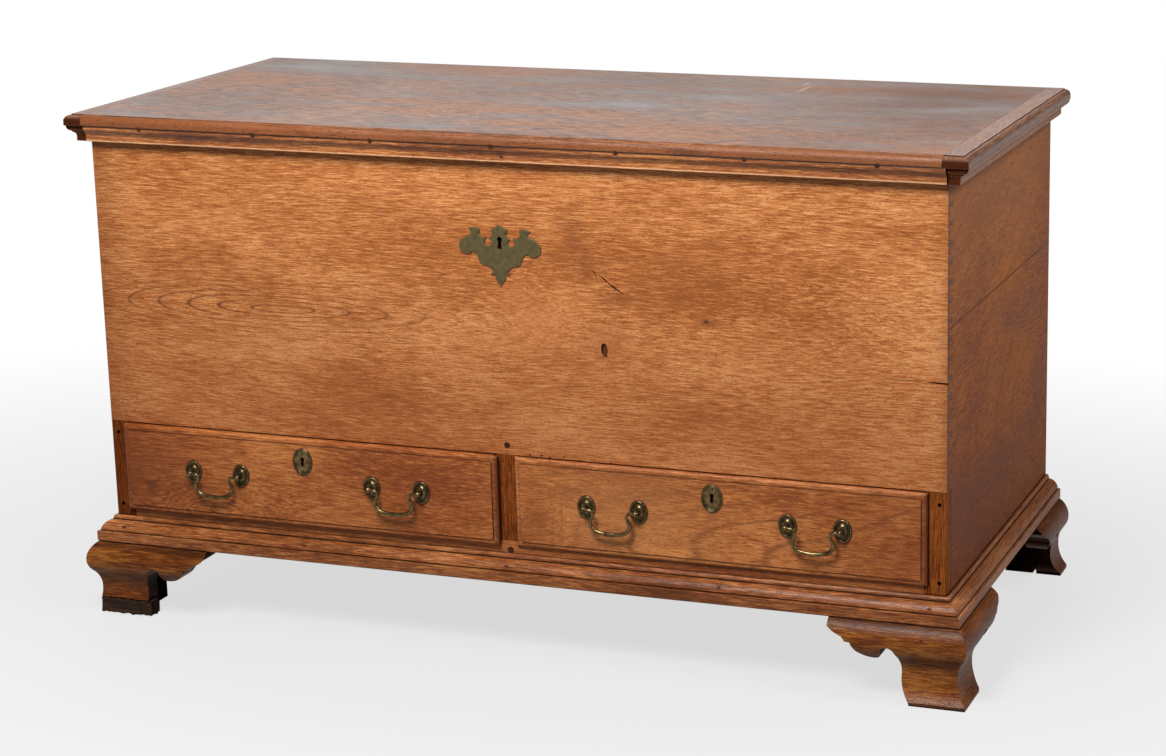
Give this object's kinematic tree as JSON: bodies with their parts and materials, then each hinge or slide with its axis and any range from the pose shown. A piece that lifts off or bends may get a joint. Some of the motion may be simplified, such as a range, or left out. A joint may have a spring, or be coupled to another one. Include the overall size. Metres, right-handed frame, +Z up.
{
  "type": "mule chest",
  "caption": "Blanket chest with a hinged lid over side-by-side lipped drawers with brass bail handles, on ogee bracket feet.",
  "frame": {"origin": "on the floor, under the middle of the whole chest's bounding box", "axes": "+X to the right seen from the front, +Y from the front to the back, +Z up"},
  "size_m": [1.312, 0.6216, 0.7308],
  "materials": {
    "front_walnut": "old wax polish over faded walnut, orange brown",
    "side_walnut": "old wax polish, darker brown",
    "lid_walnut": "sun-faded, greyed brown, dull wax",
    "moulding_walnut": "old wax polish, red brown with dark hollows",
    "secondary_wood": "unfinished, aged softwood",
    "peg_wood": "dark end grain",
    "brass": "aged brass with a dull olive brown patina",
    "iron": "forged iron, dark and slightly rusted"
  },
  "bodies": {
    "case": {"front_board": "front_walnut", "left_side": "side_walnut", "right_side": "side_walnut", "back_boards": "secondary_wood", "chest_floor": "secondary_wood", "left_stile": "front_walnut", "right_stile": "front_walnut", "muntin": "front_walnut", "bottom_rail": "front_walnut", "drawer_runners": "secondary_wood", "drawer_guides": "secondary_wood", "muntin_pegs": "peg_wood", "case_nails": "iron", "base_moulding_front": "moulding_walnut", "base_moulding_sides": "moulding_walnut", "front_left_foot_front": "moulding_walnut", "front_left_foot_side": "moulding_walnut", "front_right_foot_front": "moulding_walnut", "front_right_foot_side": "moulding_walnut", "rear_left_foot_side": "moulding_walnut", "rear_right_foot_side": "moulding_walnut", "rear_foot_boards": "secondary_wood", "foot_blocks": "secondary_wood", "chest_escutcheon": "brass", "escutcheon_nails": "brass", "chest_lock": "iron", "hinge_leaves": "iron", "hinge_pins": "iron"},
    "chest_lock_bolt": {"chest_lock_bolt": "iron"},
    "lid": {"lid_boards": "lid_walnut", "lid_left_cleat": "lid_walnut", "lid_right_cleat": "lid_walnut", "lid_front_moulding": "moulding_walnut", "lid_side_mouldings": "moulding_walnut", "lid_moulding_plugs": "peg_wood", "hinge_straps": "iron", "lid_lock_keeper": "iron"},
    "left_drawer": {"left_drawer_front": "front_walnut", "left_drawer_sides": "secondary_wood", "left_drawer_back": "secondary_wood", "left_drawer_bottom": "secondary_wood", "left_drawer_lock": "iron", "left_drawer_escutcheon": "brass", "left_drawer_rosettes": "brass", "left_drawer_posts": "brass"},
    "left_drawer_bolt": {"left_drawer_bolt": "iron"},
    "left_drawer_left_bail": {"left_drawer_left_bail": "brass"},
    "left_drawer_right_bail": {"left_drawer_right_bail": "brass"},
    "right_drawer": {"right_drawer_front": "front_walnut", "right_drawer_sides": "secondary_wood", "right_drawer_back": "secondary_wood", "right_drawer_bottom": "secondary_wood", "right_drawer_lock": "iron", "right_drawer_escutcheon": "brass", "right_drawer_rosettes": "brass", "right_drawer_posts": "brass"},
    "right_drawer_bolt": {"right_drawer_bolt": "iron"},
    "right_drawer_left_bail": {"right_drawer_left_bail": "brass"},
    "right_drawer_right_bail": {"right_drawer_right_bail": "brass"}
  },
  "joints": [
    {"name": "lid_hinge", "type": "hinge", "parent": "case", "child": "lid", "pos_m": [0, 0.30602, 0.713], "axis": [-1, 0, 0], "range_deg": [0, 95]},
    {"name": "chest_lock_bolt_slide", "type": "slide", "parent": "case", "child": "chest_lock_bolt", "axis": [1, 0, 0], "range_m": [0, 0.012]},
    {"name": "left_drawer_slide", "type": "slide", "parent": "case", "child": "left_drawer", "axis": [0, -1, 0], "range_m": [-0.003, 0.4]},
    {"name": "right_drawer_slide", "type": "slide", "parent": "case", "child": "right_drawer", "axis": [0, -1, 0], "range_m": [0, 0.4]},
    {"name": "left_drawer_bolt_slide", "type": "slide", "parent": "left_drawer", "child": "left_drawer_bolt", "axis": [0, 0, 1], "range_m": [0, 0.008]},
    {"name": "left_drawer_left_bail_hinge", "type": "hinge", "parent": "left_drawer", "child": "left_drawer_left_bail", "pos_m": [-0.446, -0.29733, 0.2235], "axis": [-1, 0, 0], "range_deg": [0, 95]},
    {"name": "left_drawer_right_bail_hinge", "type": "hinge", "parent": "left_drawer", "child": "left_drawer_right_bail", "pos_m": [-0.165, -0.29733, 0.2235], "axis": [-1, 0, 0], "range_deg": [0, 95]},
    {"name": "right_drawer_bolt_slide", "type": "slide", "parent": "right_drawer", "child": "right_drawer_bolt", "axis": [0, 0, 1], "range_m": [0, 0.008]},
    {"name": "right_drawer_left_bail_hinge", "type": "hinge", "parent": "right_drawer", "child": "right_drawer_left_bail", "pos_m": [0.1559, -0.29433, 0.2235], "axis": [-1, 0, 0], "range_deg": [0, 95]},
    {"name": "right_drawer_right_bail_hinge", "type": "hinge", "parent": "right_drawer", "child": "right_drawer_right_bail", "pos_m": [0.4427, -0.29433, 0.2235], "axis": [-1, 0, 0], "range_deg": [0, 95]}
  ]
}
